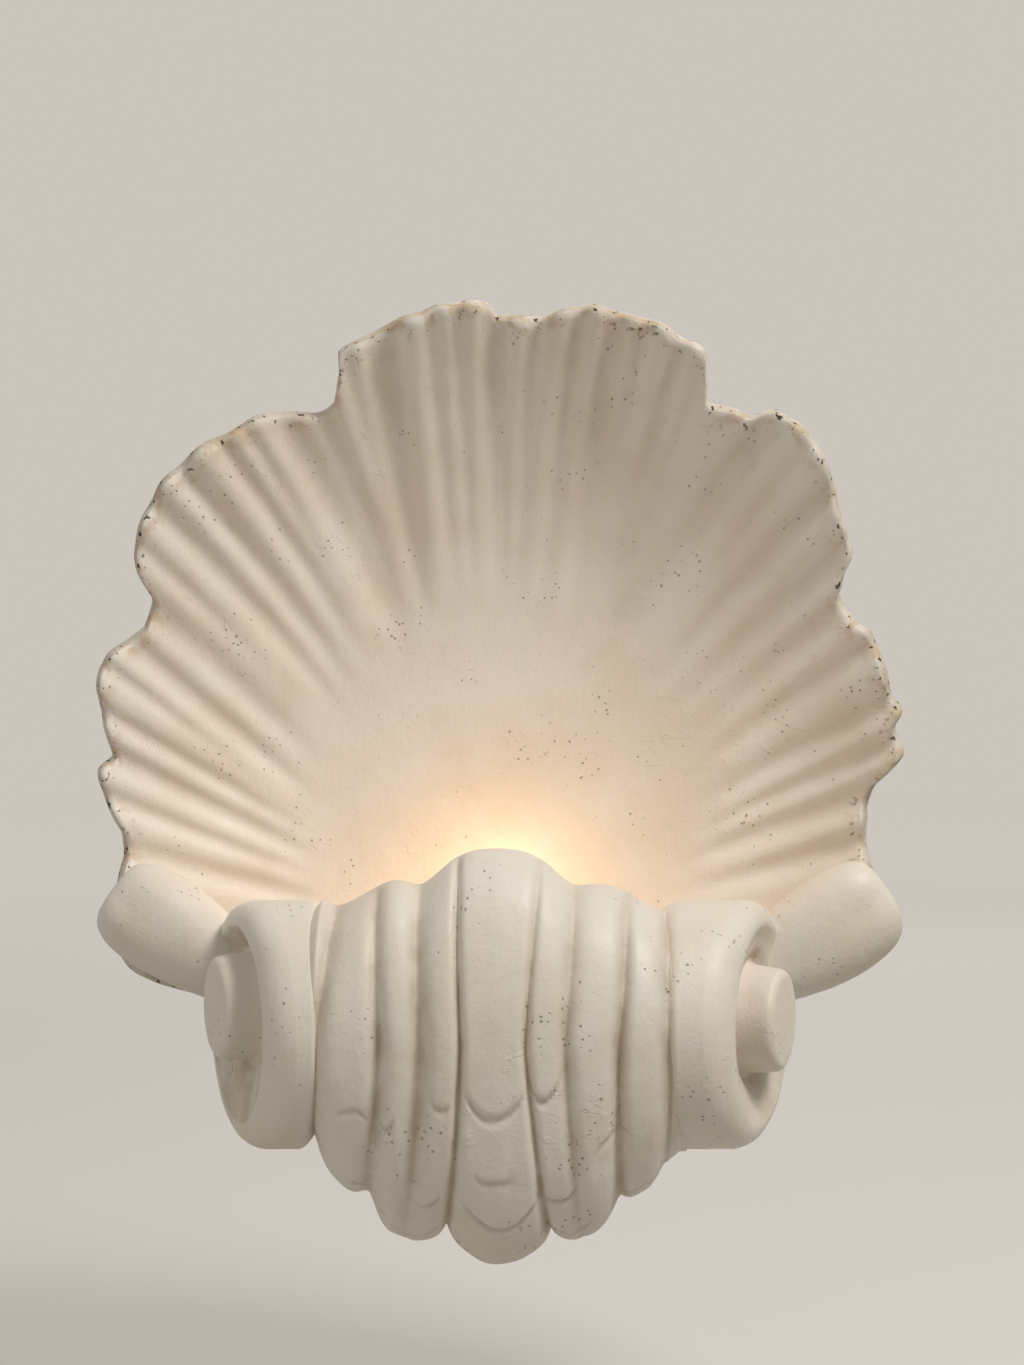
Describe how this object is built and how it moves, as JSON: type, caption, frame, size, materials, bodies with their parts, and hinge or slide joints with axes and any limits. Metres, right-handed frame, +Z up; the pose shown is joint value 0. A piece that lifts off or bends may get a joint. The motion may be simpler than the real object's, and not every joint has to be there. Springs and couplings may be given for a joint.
{
  "type": "wall sconce",
  "caption": "Fluted scallop-shell plaster uplight wall sconce with a scrolled, ribbed hood that hides the lamp, on a steel wall plate with lift-off hooks.",
  "frame": {"origin": "middle of the wall plate's back face, on the wall", "axes": "+Y into the wall, +Z up, +X to the right as seen from the room; the object stands out along -Y"},
  "size_m": [0.4048, 0.19, 0.453],
  "materials": {
    "plaster": "satin",
    "zinc_steel": "satin",
    "brass": "satin",
    "white_plastic": "matte",
    "black_rubber": "matte",
    "phenolic": "satin",
    "nickel_shell": "satin",
    "lead_sheath": "matte",
    "earth_sheath": "matte",
    "tinned_copper": "satin",
    "lamp_glass": "gloss",
    "cap_metal": "satin",
    "black_glass": "gloss",
    "stem_glass": "gloss",
    "filament": "matte"
  },
  "bodies": {
    "wall_plate": {"wall_plate": "zinc_steel", "cable_grommet": "black_rubber"},
    "sconce": {"fan_shell": "plaster", "scroll_hood": "plaster", "hanger_strap": "zinc_steel", "strap_screws": "zinc_steel", "strap_inserts": "brass", "terminal_block": "white_plastic", "terminal_screws": "brass", "lead_bush": "black_rubber", "lamp_bracket": "zinc_steel", "bracket_washers": "zinc_steel", "bracket_screws": "zinc_steel", "bracket_inserts": "brass", "nipple": "brass", "lock_washer": "zinc_steel", "nipple_nut": "brass", "holder_body": "phenolic", "holder_shell": "nickel_shell", "holder_contact": "brass", "lamp_lead": "lead_sheath", "earth_lead": "earth_sheath", "earth_lug": "tinned_copper", "earth_screw": "zinc_steel"},
    "bulb": {"bulb_glass": "lamp_glass", "bulb_cap": "cap_metal", "bulb_insulator": "black_glass", "bulb_tip": "cap_metal", "bulb_stem": "stem_glass", "bulb_filament": "filament"}
  },
  "joints": [
    {"name": "lift_off_hooks", "type": "slide", "parent": "wall_plate", "child": "sconce", "axis": [0, 0, 1], "range_m": [0, 0.01]},
    {"name": "bulb_out", "type": "slide", "parent": "sconce", "child": "bulb", "axis": [0, 0, 1], "range_m": [0, 0.11]}
  ]
}
